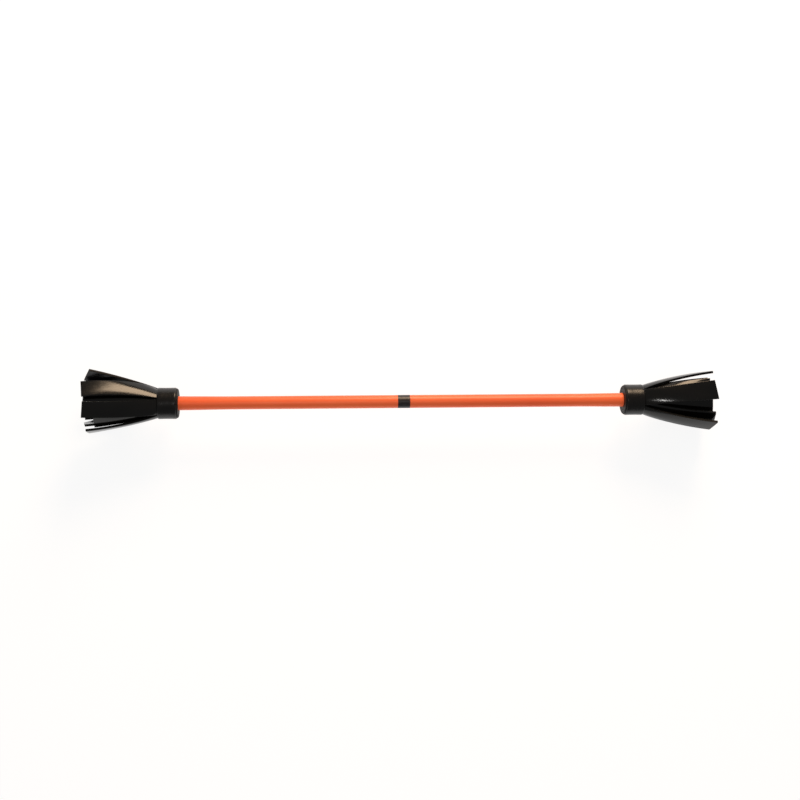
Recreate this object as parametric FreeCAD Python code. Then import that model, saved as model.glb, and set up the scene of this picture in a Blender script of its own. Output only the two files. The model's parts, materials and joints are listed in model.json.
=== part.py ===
"""Juggling flower stick: a sleeved rod with a rolled, fringed rubber tassel at each end.

Lengths are in millimetres and angles in degrees. +X runs along the stick, +Z is up, and the origin is the
stick's centre on its axis. The stick lies on its lowest strips. An azimuth is counted round the X axis,
from +Z (0) towards +Y (90). A side is +1 for the right end (+X) and -1 for the left end (-X).
"""
import FreeCAD
import Part

import math
import os

# Rod and sleeve
ROD_D = 9.5                     # fibreglass core
FIT = 0.05                      # radial room between pieces that are pushed together
SLEEVE_WALL = 1.55              # silicone sleeve along the grip
SLEEVE_SWELL = 0.4              # how much the sleeve thickens, in radius, towards each tassel
SWELL_LENGTH = 50.0             # length over which it thickens
MOUTH_X = 242.5                 # from the centre to the mouth where the strips come free
COLLAR_LENGTH = 20.0            # uncut band of the rubber sheet, rolled round the sleeve
SLEEVE_INSET = 2.5              # sleeve end, back from the mouth
BAND_WIDTH = 12.6               # tape that marks the balance point
BAND_THICKNESS = 0.25

# End plug
PLUG_SPIGOT = 8.5               # length pushed into the sleeve
PLUG_FLANGE = 2.0               # thickness of the head that covers the sleeve's end
PLUG_EDGE = 0.5                 # fillet on the head

# Rubber sheet of one tassel
SHEET_THICKNESS = 2.4
TURN_GAP = 0.3                  # adhesive between turns
STRIPS_PER_TURN = (5, 4, 3)     # outer, middle and inner turn
SLIT = 0.6                      # width of the cut between two strips at the mouth
STRIP_LENGTH = 76.0
ROOT_GAP = {"outer": 0.3, "middle": 0.6, "inner": 0.75}
COLLAR_WRAP = 0.6               # smooth wrap round the rolled band
WRAP_INSET = 1.7                # wrap's start, back from the rolled band's rounded edge
ROLL_FILLET = 1.5
SPIRAL_LINE = 0.25              # joint line between turns, seen on the band's end faces
SPIRAL_DEPTH = 1.0

# Shape of a strip: heading away from the axis at each distance along the strip
NECK = (0.0, 5.0, 10.0)
HEADINGS = {
    "outer": (22.0, 24.0, 15.5, 7.0),
    "middle": (14.6, 16.6, 12.2, 5.9),
    "inner": (7.4, 9.4, 8.0, 4.8),
}
STATIONS = (0.0, 0.05, 0.12, 0.28, 0.52, 0.76, 1.0)
TIP_FLATNESS = 0.85             # 0 keeps the roll's curve across the strip, 1 makes it flat

# Each end: azimuth of a turn's first root, then each strip's tip azimuth, extra length and tip skew
RIGHT_TASSEL = {
    "outer": (
        11.0,
        ((19.0, 3.0, 6.0), (90.0, -2.0, -4.0), (180.0, 0.0, 3.0), (238.0, -1.0, 4.0), (303.0, 0.0, -12.0)),
    ),
    "middle": (38.0, ((40.0, 0.0, -5.0), (122.0, 0.0, 4.0), (215.0, -1.0, 0.0), (316.0, 1.0, 5.0))),
    "inner": (342.0, ((344.0, 0.0, 6.0), (104.0, -2.0, 0.0), (221.0, -1.0, -5.0))),
}
LEFT_TASSEL = {
    "outer": (
        55.0,
        ((30.0, 0.0, 4.0), (102.0, -2.0, -14.0), (180.0, 0.0, 3.0), (273.0, -3.0, -5.0), (352.0, 0.0, 3.0)),
    ),
    "middle": (40.0, ((14.0, -1.0, 0.0), (125.0, 0.0, 5.0), (252.0, -1.0, 4.0), (313.0, -9.0, 3.0))),
    "inner": (30.0, ((27.0, -2.0, 0.0), (150.0, 0.0, 5.0), (268.0, -1.0, -4.0))),
}

# Sizes that follow
ROD_R = ROD_D / 2
SLEEVE_BORE = ROD_R + FIT
SLEEVE_R = SLEEVE_BORE + SLEEVE_WALL
SLEEVE_END_R = SLEEVE_R + SLEEVE_SWELL
ROLL_X = MOUTH_X - COLLAR_LENGTH
SLEEVE_END = MOUTH_X - SLEEVE_INSET
ROLL_BORE = SLEEVE_END_R + FIT
TURN_PITCH = SHEET_THICKNESS + TURN_GAP
ROLL_R = ROLL_BORE + 3 * SHEET_THICKNESS + 2 * TURN_GAP
TURNS = ("outer", "middle", "inner")


def turned(outline):
    """Solid of revolution about X, from a closed outline of (x, radius) points."""
    points = [FreeCAD.Vector(x, 0, radius) for x, radius in outline]
    face = Part.Face(Part.makePolygon(points + points[:1]))
    return face.revolve(FreeCAD.Vector(0, 0, 0), FreeCAD.Vector(1, 0, 0), 360)


def tube(start, end, inner, outer):
    """Straight tube about X between two x values."""
    return turned([(start, inner), (end, inner), (end, outer), (start, outer)])


def edges_at(shape, x, radius):
    """Round edges of a shape at one x and one radius about X."""
    found = []
    for edge in shape.Edges:
        curve = edge.Curve
        if isinstance(curve, Part.Circle) and abs(curve.Radius - radius) < 1e-6 and abs(curve.Center.x - x) < 1e-6:
            found.append(edge)
    return found


def core_rod():
    """Fibreglass rod; the end plugs take up the rest of the sleeve."""
    half = SLEEVE_END - PLUG_SPIGOT - ROOT_GAP["outer"]
    rod = Part.makeCylinder(ROD_R, 2 * half, FreeCAD.Vector(-half, 0, 0), FreeCAD.Vector(1, 0, 0))
    return rod.makeChamfer(PLUG_EDGE, edges_at(rod, -half, ROD_R) + edges_at(rod, half, ROD_R))


def grip_sleeve():
    """Silicone sleeve over the rod, thicker where it runs into the tassels."""
    swell_start = ROLL_X - SWELL_LENGTH
    outside = [(swell_start, SLEEVE_R), (ROLL_X, SLEEVE_END_R), (SLEEVE_END, SLEEVE_END_R)]
    outline = [(-SLEEVE_END, SLEEVE_BORE), (SLEEVE_END, SLEEVE_BORE)]
    outline += reversed(outside)
    outline += [(-x, radius) for x, radius in outside]
    return turned(outline)


def centre_band():
    """Tape round the middle of the sleeve."""
    return tube(-BAND_WIDTH / 2, BAND_WIDTH / 2, SLEEVE_R, SLEEVE_R + BAND_THICKNESS)


def end_plug(side):
    """Rubber plug: a spigot in the sleeve's bore and a head over its end."""
    axis = FreeCAD.Vector(side, 0, 0)
    spigot = Part.makeCylinder(ROD_R, PLUG_SPIGOT, axis * (SLEEVE_END - PLUG_SPIGOT), axis)
    head = Part.makeCylinder(SLEEVE_END_R, PLUG_FLANGE, axis * SLEEVE_END, axis)
    head = head.makeFillet(PLUG_EDGE, edges_at(head, side * (SLEEVE_END + PLUG_FLANGE), SLEEVE_END_R))
    return spigot.fuse(head).removeSplitter()


def spiral_line(side, x, depth_direction):
    """Shallow cut on an end face of the rolled band, along the joint between its turns."""
    step = TURN_PITCH / 2
    cuts = []
    radius = ROLL_BORE + step
    half_turn = 0
    while radius + step < ROLL_R:
        centre = FreeCAD.Vector(x, (0.5 - half_turn % 2) * step, 0)
        outward = FreeCAD.Vector(depth_direction * side, 0, 0)
        ring = Part.makeCylinder(radius + SPIRAL_LINE / 2, SPIRAL_DEPTH, centre, outward)
        ring = ring.cut(Part.makeCylinder(radius - SPIRAL_LINE / 2, SPIRAL_DEPTH, centre, outward))
        reach = 2 * ROLL_R
        low_z = 0 if half_turn % 2 == 0 else -reach
        corner = FreeCAD.Vector(x - SPIRAL_DEPTH, -reach / 2, low_z)
        cuts.append(ring.common(Part.makeBox(2 * SPIRAL_DEPTH, reach, reach, corner)))
        radius += step
        half_turn += 1
    return cuts


def tassel_root(side):
    """Uncut band of the rubber sheet, rolled round the sleeve, with its turns showing on both end faces."""
    start, end = sorted((side * ROLL_X, side * MOUTH_X))
    roll = tube(start, end, ROLL_BORE, ROLL_R)
    roll = roll.makeFillet(ROLL_FILLET, edges_at(roll, side * ROLL_X, ROLL_R))
    for cut in spiral_line(side, side * ROLL_X, 1) + spiral_line(side, side * MOUTH_X, -1):
        roll = roll.cut(cut)
    return roll


def collar_wrap(side):
    """Smooth bare wrap that holds the rolled band closed."""
    start, end = sorted((side * (ROLL_X + WRAP_INSET), side * MOUTH_X))
    return tube(start, end, ROLL_R, ROLL_R + COLLAR_WRAP)


def turn_radius(turn):
    """Radius of the middle of the sheet in a turn, at the mouth."""
    return ROLL_R - SHEET_THICKNESS / 2 - TURNS.index(turn) * TURN_PITCH


def strip_width(turn):
    """Width of a strip: its share of the turn, less the slit."""
    return 2 * math.pi * turn_radius(turn) / STRIPS_PER_TURN[TURNS.index(turn)] - SLIT


def strip_path(turn, length, steps=200):
    """Middle line of a strip as (distance, reach past the root, radius, heading), by small steps."""
    stops = NECK + (length,)
    headings = HEADINGS[turn]
    reach, radius = 0.0, turn_radius(turn)
    path = []
    for step in range(steps + 1):
        distance = length * step / steps
        span = max(index for index in range(len(stops) - 1) if stops[index] <= distance)
        share = (distance - stops[span]) / (stops[span + 1] - stops[span])
        heading = headings[span] + share * (headings[span + 1] - headings[span])
        path.append((distance, reach, radius, heading))
        reach += length / steps * math.cos(math.radians(heading))
        radius += length / steps * math.sin(math.radians(heading))
    return path


def directions(azimuth):
    """Unit vectors at an azimuth: away from the axis, and round it."""
    angle = math.radians(azimuth)
    radial = FreeCAD.Vector(0, math.sin(angle), math.cos(angle))
    across = FreeCAD.Vector(0, math.cos(angle), -math.sin(angle))
    return radial, across


def section_wire(side, x, radius, azimuth, heading, width, bend_radius):
    """Cross-section of a strip: two arcs across it, joined by its cut edges."""
    radial, across = directions(azimuth)
    lean = math.radians(heading)
    along = FreeCAD.Vector(side, 0, 0)
    normal = radial * math.cos(lean) - along * math.sin(lean)
    middle = along * x + radial * radius

    def point(share, offset):
        turn = share * width / 2 / bend_radius
        sideways = across * (math.sin(turn) * (bend_radius + offset))
        return middle + sideways + normal * (math.cos(turn) * (bend_radius + offset) - bend_radius)

    outside, inside = SHEET_THICKNESS / 2, -SHEET_THICKNESS / 2
    edges = [
        Part.Arc(point(-1, outside), point(0, outside), point(1, outside)).toShape(),
        Part.LineSegment(point(1, outside), point(1, inside)).toShape(),
        Part.Arc(point(1, inside), point(0, inside), point(-1, inside)).toShape(),
        Part.LineSegment(point(-1, inside), point(-1, outside)).toShape(),
    ]
    return Part.Wire(edges)


def beyond_tip(side, x, azimuth, skew):
    """Block past a strip's tip whose near face is square to the strip, apart from the skew."""
    reach = 2 * ROLL_R
    radial, across = directions(azimuth)
    block = Part.makeBox(reach, 2 * reach, 8 * reach, FreeCAD.Vector(0, -reach, -4 * reach))
    turn = FreeCAD.Rotation(FreeCAD.Vector(side, 0, 0), across, radial, "XYZ")
    block.Placement = FreeCAD.Placement(FreeCAD.Vector(side * x, 0, 0), turn)
    block.rotate(FreeCAD.Vector(side * x, 0, 0), radial, skew)
    return block


def strip(side, turn, root_azimuth, tip_azimuth, extra_length, skew):
    """One strip of the fringe, curved like the roll at its root and nearly flat at its tip."""
    length = STRIP_LENGTH + extra_length
    path = strip_path(turn, length + SHEET_THICKNESS)
    width = strip_width(turn)
    sections = []
    for share in STATIONS:
        _, reach, radius, heading = path[round(share * (len(path) - 1))]
        azimuth = root_azimuth + share * (tip_azimuth - root_azimuth)
        bend_radius = radius / (1 - TIP_FLATNESS * share)
        lean = 0.0 if share == 0 else heading
        x = MOUTH_X + ROOT_GAP[turn] + reach
        sections.append(section_wire(side, x, radius, azimuth, lean, width, bend_radius))
    slant_room = width / 2 * math.tan(math.radians(abs(skew))) + SHEET_THICKNESS / 2
    return Part.makeLoft(sections, True, False).cut(beyond_tip(side, x - slant_room, tip_azimuth, skew))


def tassel_strips(side, end_name, tassel):
    """All strips of one tassel by node name."""
    found = {}
    for turn, count in zip(TURNS, STRIPS_PER_TURN):
        first_root, tips = tassel[turn]
        for number, (tip_azimuth, extra_length, skew) in enumerate(tips):
            root_azimuth = first_root + number * 360 / count
            if root_azimuth - tip_azimuth > 180:
                root_azimuth -= 360
            name = f"{end_name}_{turn}_strip_{number + 1}"
            found[name] = strip(side, turn, root_azimuth, tip_azimuth, extra_length, skew)
    return found


def build():
    """All pieces by node name."""
    pieces = {"core_rod": core_rod(), "grip_sleeve": grip_sleeve(), "centre_band": centre_band()}
    for side, end_name, tassel in ((1, "right", RIGHT_TASSEL), (-1, "left", LEFT_TASSEL)):
        pieces[f"{end_name}_end_plug"] = end_plug(side)
        pieces[f"{end_name}_tassel_root"] = tassel_root(side)
        pieces[f"{end_name}_collar_wrap"] = collar_wrap(side)
        pieces.update(tassel_strips(side, end_name, tassel))
    return pieces


os.makedirs("parts", exist_ok=True)
for node, shape in build().items():
    solid = shape.Solids[0]
    print(f"{node:28s} solids {len(shape.Solids)}  volume {shape.Volume:9.1f}  valid {shape.isValid()}")
    solid.exportStep(f"parts/{node}.step")
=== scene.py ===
"""Looks of a juggling flower stick: sleeve, centre band, collars, plugs and two rubber fringes.

Lengths are in metres and angles in degrees unless a name says otherwise. +X runs along the stick and +Z is
up. An azimuth is counted round the X axis, from +Z (0) towards +Y (90).
"""
import json
import logging
import math
from dataclasses import dataclass, field
from enum import Enum
from typing import Any, Union

import bpy
from mathutils import Matrix, Vector


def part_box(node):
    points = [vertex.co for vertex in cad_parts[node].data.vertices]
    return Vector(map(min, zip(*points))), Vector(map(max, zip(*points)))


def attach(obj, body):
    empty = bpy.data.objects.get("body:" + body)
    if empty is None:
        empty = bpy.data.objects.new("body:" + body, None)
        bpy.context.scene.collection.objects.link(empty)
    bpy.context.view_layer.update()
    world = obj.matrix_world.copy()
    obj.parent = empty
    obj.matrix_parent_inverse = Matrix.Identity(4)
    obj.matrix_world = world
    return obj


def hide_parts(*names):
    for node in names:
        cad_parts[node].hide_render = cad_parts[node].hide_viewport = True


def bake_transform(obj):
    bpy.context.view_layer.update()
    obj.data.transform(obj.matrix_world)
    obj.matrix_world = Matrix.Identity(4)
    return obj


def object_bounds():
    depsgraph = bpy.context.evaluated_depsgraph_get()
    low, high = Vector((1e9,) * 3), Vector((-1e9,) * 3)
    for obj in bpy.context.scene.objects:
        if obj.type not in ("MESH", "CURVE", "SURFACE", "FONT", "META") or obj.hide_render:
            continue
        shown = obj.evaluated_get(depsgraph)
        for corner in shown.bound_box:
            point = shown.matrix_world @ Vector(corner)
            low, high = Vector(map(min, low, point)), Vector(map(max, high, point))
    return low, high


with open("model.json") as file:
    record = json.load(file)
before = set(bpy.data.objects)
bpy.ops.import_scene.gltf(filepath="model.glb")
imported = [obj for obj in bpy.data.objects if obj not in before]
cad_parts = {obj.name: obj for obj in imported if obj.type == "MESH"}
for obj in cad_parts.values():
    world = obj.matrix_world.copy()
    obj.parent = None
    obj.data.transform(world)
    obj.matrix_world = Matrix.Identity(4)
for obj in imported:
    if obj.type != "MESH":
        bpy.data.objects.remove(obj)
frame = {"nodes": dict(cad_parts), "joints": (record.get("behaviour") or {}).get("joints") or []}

CAD_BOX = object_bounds()
MILLIMETRE = 0.001
LOG = logging.getLogger("flower_stick")

Number = Union[int, float]
Colour = tuple[float, float, float]
Profile = list[tuple[float, float]]


# Shader building

class Value:
    """A number on a node's output; arithmetic on it adds Math nodes."""

    def __init__(self, tree: bpy.types.NodeTree, socket: bpy.types.NodeSocket) -> None:
        """Wrap a socket.

        Args:
            tree: the node tree that holds it.
            socket: the output socket to read.
        """
        self.tree = tree
        self.socket = socket

    def math(self, operation: str, *operands: "Value | Number", clamp: bool = False) -> "Value":
        """Add one Math node.

        Args:
            operation: the Math node's operation.
            operands: what goes into its inputs, in order.
            clamp: whether the result is kept within 0 and 1.

        Returns:
            The node's result.
        """
        node = self.tree.nodes.new("ShaderNodeMath")
        node.operation = operation
        node.use_clamp = clamp
        for socket, operand in zip(node.inputs, operands):
            if isinstance(operand, Value):
                self.tree.links.new(operand.socket, socket)
            else:
                socket.default_value = operand
        return Value(self.tree, node.outputs[0])

    def __add__(self, other: "Value | Number") -> "Value":
        """Sum."""
        return self.math("ADD", self, other)

    __radd__ = __add__

    def __sub__(self, other: "Value | Number") -> "Value":
        """Difference."""
        return self.math("SUBTRACT", self, other)

    def __rsub__(self, other: Number) -> "Value":
        """Difference from a plain number."""
        return self.math("SUBTRACT", other, self)

    def __mul__(self, other: "Value | Number") -> "Value":
        """Product."""
        return self.math("MULTIPLY", self, other)

    __rmul__ = __mul__

    def clamped(self) -> "Value":
        """The number, kept within 0 and 1."""
        return self.math("ADD", self, 0.0, clamp=True)

    def above(self, low: float, high: float) -> "Value":
        """How far the number has risen from low to high, from 0 to 1."""
        return self.math("MULTIPLY", self - low, 1 / (high - low), clamp=True)


class Shader:
    """A material with a Principled BSDF, and short ways to add nodes to it."""

    def __init__(self, name: str) -> None:
        """Start an empty material.

        Args:
            name: the material's name.
        """
        self.material = bpy.data.materials.new(name)
        self.material.use_nodes = True
        self.tree = self.material.node_tree
        self.surface = self.tree.nodes["Principled BSDF"]

    def node(
        self, kind: str, settings: dict[str, Any], inputs: dict[str, Any], output: Union[str, int] = 0
    ) -> Any:
        """Add a node.

        Args:
            kind: the node's type.
            settings: its properties.
            inputs: a value or an output socket for each named input.
            output: the output that is wanted.

        Returns:
            That output socket.
        """
        node = self.tree.nodes.new(kind)
        for key, setting in settings.items():
            setattr(node, key, setting)
        for key, given in inputs.items():
            target = next(socket for socket in node.inputs if socket.name == key and socket.enabled)
            self._feed(target, given)
        return node.outputs[output]

    def _feed(self, socket: bpy.types.NodeSocket, given: Any) -> None:
        """Set or link one input.

        Args:
            socket: the input.
            given: a value, a number on a node, or an output socket; a colour gets its alpha here.
        """
        if isinstance(given, Value):
            given = given.socket
        if isinstance(given, bpy.types.NodeSocket):
            self.tree.links.new(given, socket)
        elif isinstance(given, tuple) and len(given) == 3 and socket.type == "RGBA":
            socket.default_value = (*given, 1.0)
        else:
            socket.default_value = given

    def value(self, socket: bpy.types.NodeSocket) -> Value:
        """A socket as a number."""
        return Value(self.tree, socket)

    def place(self, scale: tuple[float, float, float] = (1.0, 1.0, 1.0)) -> bpy.types.NodeSocket:
        """The point on the object, in metres, stretched by a scale for each axis."""
        point = self.node("ShaderNodeTexCoord", {}, {}, "Object")
        return self.node("ShaderNodeMapping", {}, {"Vector": point, "Scale": scale})

    def noise(
        self, point: bpy.types.NodeSocket, scale: float, detail: float = 3.0, roughness: float = 0.5
    ) -> Value:
        """Soft random pattern from 0 to 1, with scale in cycles per metre."""
        inputs = {"Vector": point, "Scale": scale, "Detail": detail, "Roughness": roughness}
        return self.value(self.node("ShaderNodeTexNoise", {}, inputs, "Fac"))

    def mix(self, share: Union[Value, float], low: Any, high: Any) -> bpy.types.NodeSocket:
        """A colour between two colours."""
        settings = {"data_type": "RGBA"}
        return self.node("ShaderNodeMix", settings, {"Factor": share, "A": low, "B": high}, 2)

    def bump(self, height: Value, depth: float, strength: float = 1.0) -> None:
        """Raise the surface by a height of 0 to 1 times a depth in metres."""
        inputs = {"Height": height, "Distance": depth, "Strength": strength}
        self.set("Normal", self.node("ShaderNodeBump", {}, inputs))

    def set(self, name: str, given: Any) -> None:
        """Set or link one input of the surface."""
        self._feed(self.surface.inputs[name], given)


@dataclass(frozen=True)
class RubberSheetFinish:
    """Calendered black rubber: glossy skin with faint smears, dust and shallow waves."""

    name: str
    black: Colour = (0.0030, 0.0029, 0.0026)
    worn: Colour = (0.012, 0.0098, 0.0075)
    roughness: float = 0.17
    smear_roughness: float = 0.12

    def make(self) -> bpy.types.Material:
        """Build the material.

        Returns:
            The new material.
        """
        shader = Shader(self.name)
        long_way = shader.place((0.25, 1.0, 1.0))
        smears = shader.noise(long_way, 95.0, 5.0, 0.6)
        dust = shader.noise(shader.place(), 900.0, 4.0, 0.7).above(0.56, 0.78)
        grain = shader.noise(shader.place(), 2600.0, 2.0, 0.5)
        waves = shader.noise(long_way, 60.0, 1.5, 0.4)
        tone = (smears.above(0.35, 0.8) * 0.45 + dust * 0.35).clamped()
        shader.set("Base Color", shader.mix(tone, self.black, self.worn))
        shader.set("Roughness", smears * self.smear_roughness + dust * 0.16 + (self.roughness - 0.08))
        shader.set("Specular IOR Level", 0.36)
        shader.bump(waves * 0.8 + grain * 0.06, 0.00045, 0.5)
        return shader.material


@dataclass(frozen=True)
class CutEdgeFinish:
    """Edge of the rubber where a blade has slit it: greyer and dull, with fine blade lines."""

    name: str
    dark: Colour = (0.003, 0.003, 0.0027)
    light: Colour = (0.014, 0.012, 0.010)

    def make(self) -> bpy.types.Material:
        """Build the material.

        Returns:
            The new material.
        """
        shader = Shader(self.name)
        lines = shader.noise(shader.place((0.15, 1.0, 1.0)), 2400.0, 4.0, 0.65)
        shader.set("Base Color", shader.mix(lines.above(0.3, 0.75), self.dark, self.light))
        shader.set("Roughness", lines * 0.25 + 0.40)
        shader.set("Specular IOR Level", 0.2)
        shader.bump(lines, 0.00018, 0.6)
        return shader.material


@dataclass(frozen=True)
class SleeveFinish:
    """Extruded orange silicone: satin, with faint draw lines, cloudy pigment and lint, and a painted glow:
    it gives off orange light of its own that stands in for lamp light.
    """

    name: str
    orange: Colour = (0.96, 0.175, 0.052)
    deep: Colour = (0.88, 0.110, 0.032)
    roughness: float = 0.36

    def make(self) -> bpy.types.Material:
        """Build the material.

        Returns:
            The new material.
        """
        shader = Shader(self.name)
        draw_lines = shader.noise(shader.place((0.02, 1.0, 1.0)), 900.0, 3.0, 0.6)
        clouds = shader.noise(shader.place((0.4, 1.0, 1.0)), 30.0, 3.0, 0.5)
        lint = shader.noise(shader.place(), 3200.0, 2.0, 0.6).above(0.70, 0.80)
        tone = (clouds.above(0.3, 0.75) * 0.6 + draw_lines * 0.25).clamped()
        pigment = shader.mix(tone, self.orange, self.deep)
        shader.set("Base Color", shader.mix(lint * 0.25, pigment, (0.95, 0.62, 0.45)))
        shader.set("Roughness", clouds * 0.10 + draw_lines * 0.08 + lint * 0.2 + (self.roughness - 0.08))
        shader.set("IOR", 1.43)
        # Painted light: the sleeve glows in its own pigment colour, standing in for lamp light falling on
        # it; it is no lamp.
        shader.set("Emission Color", pigment)
        shader.set("Emission Strength", 0.23)
        shader.set("Subsurface Weight", 0.12)
        shader.set("Subsurface Radius", (0.9, 0.25, 0.1))
        shader.set("Subsurface Scale", 0.0015)
        shader.bump(draw_lines * 0.6 + clouds * 0.4, 0.00012, 0.45)
        return shader.material


@dataclass(frozen=True)
class TapeFinish:
    """Stretched black tape: satin with shallow stretch marks round the stick and rubbed edges."""

    name: str
    black: Colour = (0.022, 0.015, 0.013)
    rubbed: Colour = (0.085, 0.055, 0.045)

    def make(self) -> bpy.types.Material:
        """Build the material.

        Returns:
            The new material.
        """
        shader = Shader(self.name)
        stretch = shader.noise(shader.place((1.0, 0.12, 0.12)), 1500.0, 4.0, 0.6)
        rubs = shader.noise(shader.place(), 700.0, 4.0, 0.7).above(0.5, 0.75)
        shader.set("Base Color", shader.mix(rubs * 0.55, self.black, self.rubbed))
        shader.set("Roughness", rubs * 0.14 + stretch * 0.14 + 0.30)
        shader.bump(stretch, 0.0001, 0.5)
        return shader.material


@dataclass(frozen=True)
class CollarFinish:
    """Smooth black wrap, stretched tight: semi-gloss with handling scuffs round it."""

    name: str
    black: Colour = (0.0034, 0.0030, 0.0027)
    scuffed: Colour = (0.024, 0.017, 0.014)

    def make(self) -> bpy.types.Material:
        """Build the material.

        Returns:
            The new material.
        """
        shader = Shader(self.name)
        pulled = shader.noise(shader.place((1.0, 0.3, 0.3)), 260.0, 4.0, 0.55)
        scuffs = shader.noise(shader.place((0.5, 1.0, 1.0)), 1300.0, 5.0, 0.75).above(0.56, 0.76)
        shader.set("Base Color", shader.mix(scuffs * 0.5 + pulled * 0.12, self.black, self.scuffed))
        shader.set("Roughness", pulled * 0.18 + scuffs * 0.16 + 0.20)
        shader.set("Specular IOR Level", 0.36)
        shader.bump(pulled * 0.8 + scuffs * 0.2, 0.00022, 0.5)
        return shader.material


@dataclass(frozen=True)
class MouldedRubberFinish:
    """Moulded black rubber of the end plugs: matt and slightly pitted."""

    name: str
    black: Colour = (0.013, 0.013, 0.013)
    bloom: Colour = (0.045, 0.045, 0.043)

    def make(self) -> bpy.types.Material:
        """Build the material.

        Returns:
            The new material.
        """
        shader = Shader(self.name)
        pits = shader.noise(shader.place(), 1800.0, 4.0, 0.6)
        bloom = shader.noise(shader.place(), 240.0, 3.0, 0.5)
        shader.set("Base Color", shader.mix(bloom.above(0.4, 0.8) * 0.7, self.black, self.bloom))
        shader.set("Roughness", pits * 0.2 + 0.45)
        shader.bump(pits, 0.00012, 0.6)
        return shader.material


@dataclass(frozen=True)
class FibreglassFinish:
    """Drawn glass-fibre rod: pale resin over long straight fibres."""

    name: str
    resin: Colour = (0.62, 0.60, 0.48)
    fibre: Colour = (0.80, 0.79, 0.70)

    def make(self) -> bpy.types.Material:
        """Build the material.

        Returns:
            The new material.
        """
        shader = Shader(self.name)
        fibres = shader.noise(shader.place((0.015, 1.0, 1.0)), 3500.0, 4.0, 0.6)
        shader.set("Base Color", shader.mix(fibres.above(0.3, 0.7), self.resin, self.fibre))
        shader.set("Roughness", fibres * 0.15 + 0.22)
        shader.bump(fibres, 0.00006, 0.5)
        return shader.material


@dataclass(frozen=True)
class Palette:
    """All finishes of the stick."""

    sheet: bpy.types.Material
    cut_edge: bpy.types.Material
    sleeve: bpy.types.Material
    tape: bpy.types.Material
    collar: bpy.types.Material
    plug: bpy.types.Material
    fibreglass: bpy.types.Material

    @classmethod
    def make(cls) -> "Palette":
        """Build every finish once.

        Returns:
            The finishes.
        """
        return cls(
            sheet=RubberSheetFinish("rubber_sheet").make(),
            cut_edge=CutEdgeFinish("rubber_cut_edge").make(),
            sleeve=SleeveFinish("orange_silicone").make(),
            tape=TapeFinish("band_tape").make(),
            collar=CollarFinish("collar_wrap").make(),
            plug=MouldedRubberFinish("moulded_rubber").make(),
            fibreglass=FibreglassFinish("fibreglass").make(),
        )


# Modelling helpers

def deselect() -> None:
    """Leave nothing selected."""
    bpy.ops.object.select_all(action="DESELECT")


def activate(piece: bpy.types.Object) -> None:
    """Select one object alone and make it active.

    Args:
        piece: the object.
    """
    deselect()
    piece.select_set(True)
    bpy.context.view_layer.objects.active = piece


def modify(piece: bpy.types.Object, kind: str, **settings: Any) -> None:
    """Add a modifier and apply it.

    Args:
        piece: the object to change.
        kind: the modifier's type.
        settings: its properties.
    """
    modifier = piece.modifiers.new(kind.lower(), kind)
    for key, setting in settings.items():
        setattr(modifier, key, setting)
    activate(piece)
    bpy.ops.object.modifier_apply(modifier=modifier.name)


def settle(piece: bpy.types.Object, placing: Matrix) -> None:
    """Move an object and bake the move into its mesh.

    Args:
        piece: the object to move.
        placing: where it goes.
    """
    activate(piece)
    piece.matrix_world = placing
    bpy.ops.object.transform_apply(location=True, rotation=True, scale=True)


def lathe(name: str, profile: Profile, around: int = 96) -> bpy.types.Object:
    """Turn a closed outline round the X axis, ring by ring.

    Args:
        name: the new object's name.
        profile: (x, radius) points; the last ring is joined to the first.
        around: how many sides a ring has.

    Returns:
        The new object, closed, with its faces pointing outwards.
    """
    deselect()
    start_x, start_radius = profile[0]
    bpy.ops.mesh.primitive_circle_add(
        vertices=around, radius=start_radius, location=(start_x, 0, 0), rotation=(0, math.pi / 2, 0)
    )
    piece = bpy.context.object
    piece.name = name
    bpy.ops.object.transform_apply(location=True, rotation=True, scale=True)
    bpy.ops.object.mode_set(mode="EDIT")
    bpy.ops.mesh.select_mode(type="VERT")
    bpy.ops.mesh.select_all(action="SELECT")
    x, radius = start_x, start_radius
    for next_x, next_radius in profile[1:] + profile[:1]:
        bpy.ops.mesh.extrude_region_move(TRANSFORM_OT_translate={"value": (next_x - x, 0, 0)})
        growth = next_radius / radius
        bpy.ops.transform.resize(value=(1, growth, growth), center_override=(next_x, 0, 0))
        x, radius = next_x, next_radius
    bpy.ops.mesh.select_all(action="SELECT")
    bpy.ops.mesh.remove_doubles(threshold=1e-6)
    bpy.ops.mesh.normals_make_consistent(inside=False)
    bpy.ops.object.mode_set(mode="OBJECT")
    return piece


def finish_piece(piece: bpy.types.Object, material: bpy.types.Material, smooth_angle: float = 35.0) -> None:
    """Give a piece its finish and its smooth shading.

    Args:
        piece: the piece.
        material: its finish, which a piece that already has one ignores.
        smooth_angle: the angle between faces up to which they are shaded smooth.

    Raises:
        ValueError: if the piece has no faces.
    """
    if not piece.data.polygons:
        raise ValueError(f"{piece.name} has no faces")
    if not piece.data.materials:
        piece.data.materials.append(material)
    activate(piece)
    bpy.ops.object.shade_smooth_by_angle(angle=math.radians(smooth_angle))
    LOG.info("%s: %d faces", piece.name, len(piece.data.polygons))


def dress_node(node: str, material: bpy.types.Material) -> bpy.types.Object:
    """Give its finish to a node that keeps its shape.

    Args:
        node: the node's name.
        material: its finish.

    Returns:
        The node's object.
    """
    piece = frame["nodes"][node]
    piece.data.materials.clear()
    piece.data.materials.append(material)
    LOG.info("%s: keeps its shape", node)
    return piece


def azimuth_of(y: float, z: float) -> float:
    """Azimuth of a point beside the axis, from 0 to 360."""
    return math.degrees(math.atan2(y, z)) % 360


class Side(Enum):
    """An end of the stick, with its direction along X."""

    RIGHT = 1
    LEFT = -1

    @property
    def word(self) -> str:
        """The end's name, as its nodes have it."""
        return self.name.lower()


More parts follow.
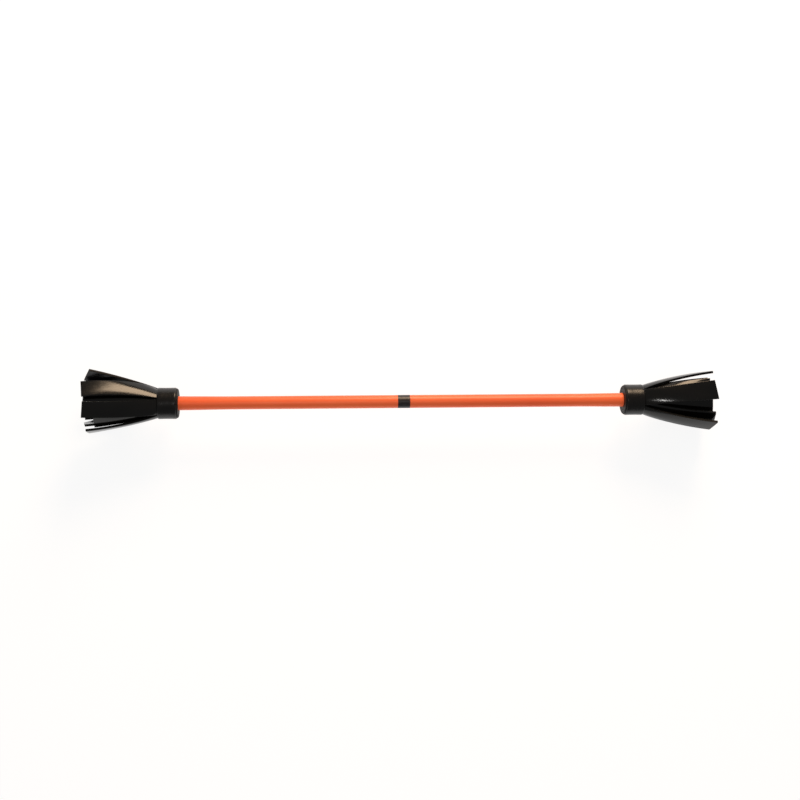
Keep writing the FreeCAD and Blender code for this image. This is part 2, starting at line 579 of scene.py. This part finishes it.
class Turn(Enum):
    """A turn of the rolled rubber sheet.

    Its value says how its strips flatten towards the tip: 1 is evenly, and less is sooner.
    """

    OUTER = 0.5
    MIDDLE = 0.75
    INNER = 0.8

    @property
    def word(self) -> str:
        """The turn's name, as its nodes have it."""
        return self.name.lower()


@dataclass(frozen=True)
class Lie:
    """How one strip lies.

    Attributes:
        azimuth: where its tip points.
        radius: how far its tip's middle is from the axis, in millimetres.
        twist: how far its tip faces away from its azimuth.
        extra: what its length differs by, in millimetres.
        skew: angle of its end cut.
        bend: how early it bends away from the axis; 1 is straight.
        spread: its width at the tip over its width at the collar.
        roll: how far it faces away from its azimuth between collar and tip.
    """

    azimuth: float
    radius: float
    twist: float = 0.0
    extra: float = 0.0
    skew: float = 0.0
    bend: float = 1.6
    spread: float = 1.0
    roll: float = 0.0


RIGHT_LIES = {
    Turn.OUTER: (
        Lie(19, 29.5, -11, 0.0, 7, 1.75, 1.2),
        Lie(90, 27.5, 0, 2.0, -4, 1.8),
        Lie(180, 30.0, 0, 3.0, 3, 1.7),
        Lie(238, 29.5, 6, 3.0, 4, 1.7),
        Lie(297, 29.9, 2, 2.0, -14, 1.75),
    ),
    Turn.MIDDLE: (
        Lie(36, 22.5, -20, -5.0, -5, 1.5),
        Lie(135, 22.5, 0, 1.0, 4),
        Lie(215, 23.0, 0, 2.0, 0),
        Lie(308, 23.3, 0, 1.0, 5),
    ),
    Turn.INNER: (
        Lie(335, 16.0, 4, -1.5, 7),
        Lie(108, 15.5, 0, 1.0, 0),
        Lie(221, 17.0, 0, 2.0, -5),
    ),
}
LEFT_LIES = {
    Turn.OUTER: (
        Lie(29, 30.0, 2, 1.5, 3, 1.7, 1.0, -16),
        Lie(100, 30.0, 31, 2.5, -12, 1.6),
        Lie(180, 30.0, 0, 3.0, 3, 1.7),
        Lie(276, 27.0, 3, -1.5, -5, 1.65),
        Lie(350, 29.8, -6, 0.0, 3, 1.7),
    ),
    Turn.MIDDLE: (
        Lie(14, 22.8, 0, -2.0, 0, 1.5),
        Lie(143, 20.0, 8, 2.0, 5),
        Lie(255, 21.2, 8, 2.5, 4, 1.5),
        Lie(306, 21.6, 0, -10.0, 3, 1.5),
    ),
    Turn.INNER: (
        Lie(27, 16.6, 0, -1.0, 0),
        Lie(150, 13.6, 0, 1.0, 5),
        Lie(268, 14.2, 0, -2.0, -4),
    ),
}


@dataclass
class Sleeve:
    """Orange sleeve over the whole grip, with rounded ends inside the tassels."""

    palette: Palette
    swell_length: float = 0.050
    swell: float = 0.0004
    swell_steps: int = 8
    lip: float = 0.0004
    fullness: float = 0.00015
    bore_room: float = 0.00005

    def build(self) -> bpy.types.Object:
        """Turn the sleeve and put it on the stick.

        Returns:
            The new piece.
        """
        _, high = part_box("grip_sleeve")
        end, end_radius = high.x, high.z + self.fullness
        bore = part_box("core_rod")[1].z + self.bore_room
        radius = end_radius - self.swell
        collar_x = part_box("right_tassel_root")[0].x
        outside = []
        for step in range(self.swell_steps + 1):
            share = step / self.swell_steps
            eased = share * share * (3 - 2 * share)
            outside.append((collar_x - self.swell_length * (1 - share), radius + self.swell * eased))
        outside += [(end - self.lip, end_radius), (end, end_radius - self.lip)]
        profile = [(-end, bore), (end, bore)] + outside[::-1] + [(-x, size) for x, size in outside]
        piece = lathe("sleeve", profile)
        finish_piece(piece, self.palette.sleeve)
        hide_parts("grip_sleeve")
        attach(piece, "stick")
        return piece


@dataclass
class CentreBand:
    """Two turns of tape at the balance point, the second a little out of line, with a lifted end."""

    palette: Palette
    offset: float = 0.0004
    sunk: float = 0.0004
    edge: float = 0.00005
    sides: int = 120
    end_azimuth: float = 205.0
    end_span: float = 24.0
    end_step: float = 0.00010
    top_share: float = 0.995

    def build(self) -> bpy.types.Object:
        """Wind the tape.

        Returns:
            The new piece.
        """
        low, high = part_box("centre_band")
        sleeve_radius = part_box("grip_sleeve")[1].z - self.sunk
        outer, middle = high.z, (high.z + sleeve_radius) / 2
        profile = [
            (low.x, sleeve_radius),
            (low.x, middle - self.edge),
            (low.x + self.offset, middle),
            (low.x + self.offset, outer - self.edge),
            (low.x + self.offset + self.edge, outer),
            (high.x - self.edge, outer),
            (high.x, outer - self.edge),
            (high.x, sleeve_radius),
        ]
        piece = lathe("centre_band_tape", profile, self.sides)
        self._lift_end(piece, outer)
        finish_piece(piece, self.palette.tape, 30.0)
        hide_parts("centre_band")
        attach(piece, "stick")
        return piece

    def _lift_end(self, piece: bpy.types.Object, outer: float) -> None:
        """Raise the last stretch of tape a little, on the side away from the light.

        Args:
            piece: the tape.
            outer: its outside radius.
        """
        activate(piece)
        bpy.ops.object.mode_set(mode="EDIT")
        bpy.ops.mesh.select_all(action="DESELECT")
        bpy.ops.object.mode_set(mode="OBJECT")
        for polygon in piece.data.polygons:
            y, z = polygon.center.y, polygon.center.z
            past_start = azimuth_of(y, z) - self.end_azimuth
            on_top = math.hypot(y, z) > outer * self.top_share
            polygon.select = on_top and 0 < past_start < self.end_span
        bpy.ops.object.mode_set(mode="EDIT")
        bpy.ops.mesh.select_mode(type="FACE")
        growth = 1 + self.end_step / outer
        bpy.ops.transform.resize(value=(1, growth, growth), center_override=(0, 0, 0))
        bpy.ops.object.mode_set(mode="OBJECT")


@dataclass
class Collar:
    """Everything at one end that holds the fringe: the wrap, the rolled band of rubber and the plug."""

    side: Side
    palette: Palette
    sides: int = 128
    lip: float = 0.0014
    lip_depth: float = 0.55
    lip_steps: int = 6
    waist: float = 0.00012
    waist_shares: tuple[float, ...] = (0.25, 0.5, 0.75)
    fullness: float = 0.0003
    plug_sides: int = 64
    plug_head: float = 0.0020
    plug_lead: float = 0.0005
    plug_edge: float = 0.0002
    plug_rim: float = 0.0007
    face_drop: float = 0.0001
    ring_drop: float = 0.0004
    ring_shares: tuple[float, float, float] = (0.72, 0.66, 0.60)
    centre_share: float = 0.02

    def build(self) -> list[bpy.types.Object]:
        """Build the wrap, and dress the rolled band and the plug.

        Returns:
            The new pieces.
        """
        return [self._wrap(), self._rolled_band(), self._plug()]

    def _wrap(self) -> bpy.types.Object:
        """Tight wrap with rounded lips and a slightly pinched middle.

        Returns:
            The wrap.
        """
        word = self.side.word
        low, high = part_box(f"{word}_collar_wrap")
        inner_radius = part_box(f"{word}_tassel_root")[1].z
        outer = high.z + self.fullness
        length = high.x - low.x
        across_lip = []
        for step in range(self.lip_steps + 1):
            angle = math.radians(90 * step / self.lip_steps)
            fall = self.lip * self.lip_depth * (1 - math.sin(angle))
            across_lip.append((self.lip * (1 - math.cos(angle)), outer - fall))
        outside = [(low.x + x, radius) for x, radius in across_lip]
        for share in self.waist_shares:
            outside.append((low.x + length * share, outer - self.waist * math.sin(math.pi * share)))
        outside += [(high.x - x, radius) for x, radius in reversed(across_lip)]
        profile = [(low.x, inner_radius)] + outside + [(high.x, inner_radius)]
        piece = lathe(f"{word}_wrap", profile, self.sides)
        finish_piece(piece, self.palette.collar, 50.0)
        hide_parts(f"{word}_collar_wrap")
        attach(piece, "stick")
        return piece

    def _rolled_band(self) -> bpy.types.Object:
        """Uncut band of the sheet; its shape is already right, so it only gets its finish."""
        return dress_node(f"{self.side.word}_tassel_root", self.palette.cut_edge)

    def _plug(self) -> bpy.types.Object:
        """Plug head with a domed face and a moulding ring.

        Returns:
            The plug.
        """
        word = self.side.word
        sign = self.side.value
        low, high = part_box(f"{word}_end_plug")
        length = high.x - low.x
        outer = high.z
        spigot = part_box("core_rod")[1].z
        start = low.x if sign > 0 else high.x
        neck = length - self.plug_head
        ring_out, ring_deep, ring_in = (outer * share for share in self.ring_shares)
        outline = [
            (0.0, spigot - self.plug_lead),
            (self.plug_lead, spigot),
            (neck, spigot),
            (neck, outer - self.plug_edge),
            (neck + self.plug_edge, outer),
            (length - self.plug_rim, outer),
            (length - self.plug_edge, outer - self.plug_lead),
            (length - self.face_drop, ring_out),
            (length - self.ring_drop, ring_deep),
            (length - self.face_drop, ring_in),
            (length, outer * self.centre_share),
            (0.0, outer * self.centre_share),
        ]
        profile = [(start + sign * x, radius) for x, radius in outline]
        piece = lathe(f"{word}_plug", profile, self.plug_sides)
        finish_piece(piece, self.palette.plug, 40.0)
        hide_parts(f"{word}_end_plug")
        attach(piece, "stick")
        return piece


@dataclass
class Fringe:
    """The strips of rubber at one end, each curved like the roll at its root and nearly flat at its tip."""

    side: Side
    lies: dict[Turn, tuple[Lie, ...]]
    palette: Palette
    length: float = 0.072
    thickness: float = 0.0024
    slit: float = 0.0006
    edge_round: float = 0.0003
    edge_angle: float = 50.0
    flatness: float = 0.93
    bend_zone: float = 0.020
    cells: tuple[int, int] = (6, 44)
    path_shares: tuple[float, ...] = (0.0, 0.14, 0.42, 0.74, 1.08)
    path_fineness: int = 32
    reach: float = 0.975
    past_tip_rise: float = 0.5
    roll_power: float = 0.6
    joints: dict[str, dict[str, Any]] = field(
        default_factory=lambda: {joint["child"]: joint for joint in frame["joints"]}
    )

    def build(self) -> list[bpy.types.Object]:
        """Make every strip of this end.

        Returns:
            The strips.
        """
        strips = []
        for turn, lies in self.lies.items():
            for number, lie in enumerate(lies, 1):
                strips.append(self._strip(turn, number, len(lies), lie))
        return strips

    def _strip(self, turn: Turn, number: int, count: int, lie: Lie) -> bpy.types.Object:
        """Cut one strip, roll it across, give it its wall, and lay it along its path.

        Args:
            turn: the turn of the roll that it is cut from.
            number: its number in that turn, from 1.
            count: how many strips the turn is cut into.
            lie: how it lies.

        Returns:
            The strip.
        """
        node = f"{self.side.word}_{turn.word}_strip_{number}"
        pivot = Vector(self.joints[node]["pos_m"])
        half_wall = self.thickness / 2
        to_mid_wall = {Turn.OUTER: -half_wall, Turn.MIDDLE: 0.0, Turn.INNER: half_wall}[turn]
        root_radius = math.hypot(pivot.y, pivot.z) + to_mid_wall
        root_azimuth = azimuth_of(pivot.y, pivot.z)
        width = 2 * math.pi * root_radius / count - self.slit
        lean = (lie.azimuth - root_azimuth + 180) % 360 - 180
        length = self.length + lie.extra * MILLIMETRE

        piece = self._flat_strip(node, width, length, lie)
        self._roll_across(piece, turn, root_radius, width, length)
        modify(piece, "SOLIDIFY", thickness=self.thickness, offset=0.0, use_rim=True, material_offset_rim=1)
        rounding = {"width": self.edge_round, "segments": 2, "limit_method": "ANGLE"}
        modify(piece, "BEVEL", angle_limit=math.radians(self.edge_angle), **rounding)
        path = self._path(root_radius, lean, length, lie)
        modify(piece, "CURVE", object=path, deform_axis="POS_X")
        modify(piece, "SUBSURF", levels=1, render_levels=1)
        bpy.data.objects.remove(path)

        facing = Matrix.Identity(4) if self.side is Side.RIGHT else Matrix.Rotation(math.pi, 4, "Z")
        turned = Matrix.Rotation(-math.radians(root_azimuth), 4, "X")
        settle(piece, Matrix.Translation((pivot.x, 0, 0)) @ turned @ facing)
        finish_piece(piece, self.palette.sheet, 40.0)
        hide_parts(node)
        mouth = Vector((pivot.x, 0, 0))
        zone_end = mouth + Vector((self.side.value * self.bend_zone, 0, 0))
        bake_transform(piece)
        return piece

    def _flat_strip(self, node: str, width: float, length: float, lie: Lie) -> bpy.types.Object:
        """A flat strip, width along X and length up Z, with its end cut askew.

        Args:
            node: the node that it stands for.
            width: its width at the collar.
            length: its length.
            lie: how it lies.

        Returns:
            The strip, without a wall yet.
        """
        deselect()
        across, along = self.cells
        bpy.ops.mesh.primitive_grid_add(
            x_subdivisions=across, y_subdivisions=along, size=1, rotation=(math.pi / 2, 0, 0)
        )
        piece = bpy.context.object
        piece.name = node + "_rubber"
        bpy.ops.object.transform_apply(location=False, rotation=True, scale=False)
        bpy.ops.object.mode_set(mode="EDIT")
        bpy.ops.mesh.select_all(action="SELECT")
        uncut = length + self.thickness
        bpy.ops.transform.resize(value=(width, 1, uncut))
        bpy.ops.transform.translate(value=(0, 0, uncut / 2))
        skew = math.radians(lie.skew * self.side.value)
        bpy.ops.mesh.bisect(
            plane_co=(0, 0, length - abs(math.tan(skew)) * width / 2),
            plane_no=(math.sin(skew), 0, math.cos(skew)),
            clear_outer=True,
        )
        bpy.ops.object.mode_set(mode="OBJECT")
        modify(piece, "SIMPLE_DEFORM", deform_method="TAPER", deform_axis="Z", factor=lie.spread - 1)
        piece.data.materials.append(self.palette.sheet)
        piece.data.materials.append(self.palette.cut_edge)
        return piece

    def _roll_across(
        self, piece: bpy.types.Object, turn: Turn, root_radius: float, width: float, length: float
    ) -> None:
        """Curve the strip across its width, less and less towards its tip, and lay it along X.

        Args:
            piece: the flat strip.
            turn: the turn of the roll that it is cut from.
            root_radius: the radius of its mid-wall at the collar.
            width: its width at the collar.
            length: its length.
        """
        group = piece.vertex_groups.new(name="rolled")
        for vertex in piece.data.vertices:
            share = min(max(vertex.co.z / length, 0.0), 1.0)
            group.add([vertex.index], 1 - self.flatness * share**turn.value, "REPLACE")
        bend = {"deform_method": "BEND", "deform_axis": "Z", "angle": -width / root_radius}
        modify(piece, "SIMPLE_DEFORM", vertex_group=group.name, **bend)
        lay_down = Matrix(((0, 0, 1, 0), (1, 0, 0, 0), (0, 1, 0, 0), (0, 0, 0, 1)))
        settle(piece, lay_down)

    def _path(self, root_radius: float, lean: float, length: float, lie: Lie) -> bpy.types.Object:
        """Curve that the strip's middle line follows, in the frame of its root.

        Args:
            root_radius: how far the curve starts from the axis.
            lean: how far the tip's azimuth is from the root's.
            length: the strip's length.
            lie: how the strip lies.

        Returns:
            The curve.
        """
        deselect()
        bpy.ops.curve.primitive_nurbs_path_add()
        path = bpy.context.object
        path.data.twist_mode = "Z_UP"
        path.data.resolution_u = self.path_fineness
        spline = path.data.splines[0]
        local_lean = lean * self.side.value
        reach = length * self.reach
        for point, share in zip(spline.points, self.path_shares):
            part = min(share, 1.0)
            risen = 1 - (1 - part) ** lie.bend + (share - part) * self.past_tip_rise
            radius = root_radius + (lie.radius * MILLIMETRE - root_radius) * risen
            swing = math.radians(local_lean * share)
            point.co = (reach * share, radius * math.sin(swing), radius * math.cos(swing), 1.0)
            facing = lie.twist * share**2 + lie.roll * math.sin(math.pi * part**self.roll_power)
            point.tilt = -math.radians(local_lean * share + facing * self.side.value)
        return path


@dataclass
class Studio:
    """Plain pale table, soft light and the camera above it."""

    camera_distance: float = 1.25
    view_width: float = 0.800
    yaw: float = 4.4
    roll: float = -0.45
    aim: tuple[float, float] = (-0.0035, 0.0015)
    table_size: float = 12.0
    table_tone: float = 0.35
    table_glow: float = 0.86
    softbox_place: tuple[float, float, float] = (0.30, 1.30, 0.56)
    softbox_size: float = 0.62
    softbox_power: float = 19.0
    softbox_colour: Colour = (1.0, 0.74, 0.50)
    camera_lamp_offset: float = 0.05
    camera_lamp_size: float = 0.02
    camera_lamp_power: float = 0.9
    camera_lamp_colour: Colour = (1.0, 0.98, 0.95)
    surround: float = 0.20

    def build(self) -> None:
        """Set up table, light and camera."""
        self._table()
        self._light()
        self._camera()

    def _table(self) -> None:
        """Pale matt table under the stick, which gives off light so that it reads as white."""
        deselect()
        height = CAD_BOX[0][2]
        bpy.ops.mesh.primitive_plane_add(size=self.table_size, location=(0, 0, height))
        table = bpy.context.object
        table.name = "table"
        shader = Shader("pale_table")
        shader.set("Base Color", (self.table_tone,) * 3)
        shader.set("Roughness", 0.9)
        shader.set("Specular IOR Level", 0.1)
        shader.set("Emission Color", (1.0, 1.0, 1.0))
        shader.set("Emission Strength", self.table_glow)
        table.data.materials.append(shader.material)

    def _area(self, name: str, place: Vector, size: float, power: float, colour: Colour) -> None:
        """Soft square light that faces the stick's middle.

        Args:
            name: the lamp's name.
            place: where it is.
            size: the length of its side.
            power: its power in watts.
            colour: its colour.
        """
        data = bpy.data.lights.new(name, "AREA")
        data.size = size
        data.energy = power
        data.color = colour
        lamp = bpy.data.objects.new(name, data)
        lamp.location = place
        lamp.rotation_euler = (-place).to_track_quat("-Z", "Y").to_euler()
        bpy.context.scene.collection.objects.link(lamp)

    def _light(self) -> None:
        """Key light beyond the stick, a small lamp at the camera and an even surround."""
        softbox_place = Vector(self.softbox_place)
        self._area("softbox", softbox_place, self.softbox_size, self.softbox_power, self.softbox_colour)
        lamp_place = self._stand() @ Vector((0.0, 0.0, self.camera_lamp_offset))
        self._area(
            "camera_lamp", lamp_place, self.camera_lamp_size, self.camera_lamp_power, self.camera_lamp_colour
        )
        world = bpy.data.worlds.new("studio")
        world.use_nodes = True
        background = world.node_tree.nodes["Background"]
        background.inputs["Color"].default_value = (1.0, 1.0, 1.0, 1.0)
        background.inputs["Strength"].default_value = self.surround
        bpy.context.scene.world = world
        bpy.context.scene.view_settings.view_transform = "Standard"

    def _stand(self) -> Matrix:
        """Where the camera is and which way it faces.

        Returns:
            The camera's placing.
        """
        swing = Matrix.Rotation(-math.radians(self.yaw), 4, "Y")
        roll = Matrix.Rotation(math.radians(self.roll), 4, "Z")
        return swing @ roll @ Matrix.Translation((self.aim[0], self.aim[1], self.camera_distance))

    def _camera(self) -> None:
        """Camera looking straight down at the stick, swung a little to its left end."""
        data = bpy.data.cameras.new("camera")
        data.sensor_width = 36.0
        data.lens = data.sensor_width * self.camera_distance / self.view_width
        camera = bpy.data.objects.new("camera", data)
        camera.matrix_world = self._stand()
        bpy.context.scene.collection.objects.link(camera)
        bpy.context.scene.camera = camera


def main() -> None:
    """Build the stick, piece by piece, and the studio round it."""
    logging.basicConfig(level=logging.INFO, format="%(name)s: %(message)s")
    palette = Palette.make()
    dress_node("core_rod", palette.fibreglass)
    Sleeve(palette).build()
    CentreBand(palette).build()
    for side, lies in ((Side.RIGHT, RIGHT_LIES), (Side.LEFT, LEFT_LIES)):
        Collar(side, palette).build()
        Fringe(side, lies, palette).build()
    Studio().build()


if __name__ == "__main__":
    main()
